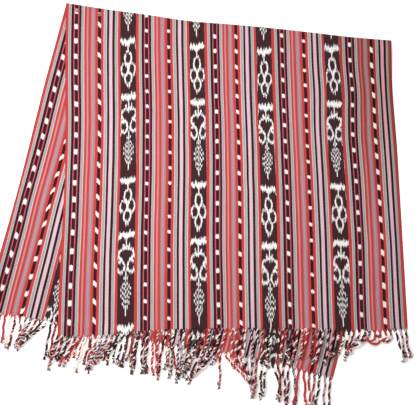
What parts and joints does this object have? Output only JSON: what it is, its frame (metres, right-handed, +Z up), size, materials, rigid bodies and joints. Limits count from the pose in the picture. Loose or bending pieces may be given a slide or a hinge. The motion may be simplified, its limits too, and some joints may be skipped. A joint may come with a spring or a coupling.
{
  "type": "wrap scarf",
  "caption": "Striped ikat cotton shawl, folded once and laid flat, its lower half fanned out past the upper one, with twisted knotted fringe on both hems.",
  "frame": {"origin": "bottom centre of the bounding box, on the surface that the shawl lies on", "axes": "+X from the left selvedge to the right one, +Y from the hems to the fold, +Z up"},
  "size_m": [1.1174, 1.1278, 0.025],
  "materials": {
    "cloth": "matte handwoven cotton, warp striped in red, burgundy black, grey and pink with white ikat figures",
    "fringe": "matte twisted cotton cords in the colours of the warp"
  },
  "bodies": {
    "root": {"lower_layer": "cloth", "fold": "cloth", "upper_layer": "cloth", "lower_fringe": "fringe", "upper_fringe": "fringe"}
  },
  "joints": []
}
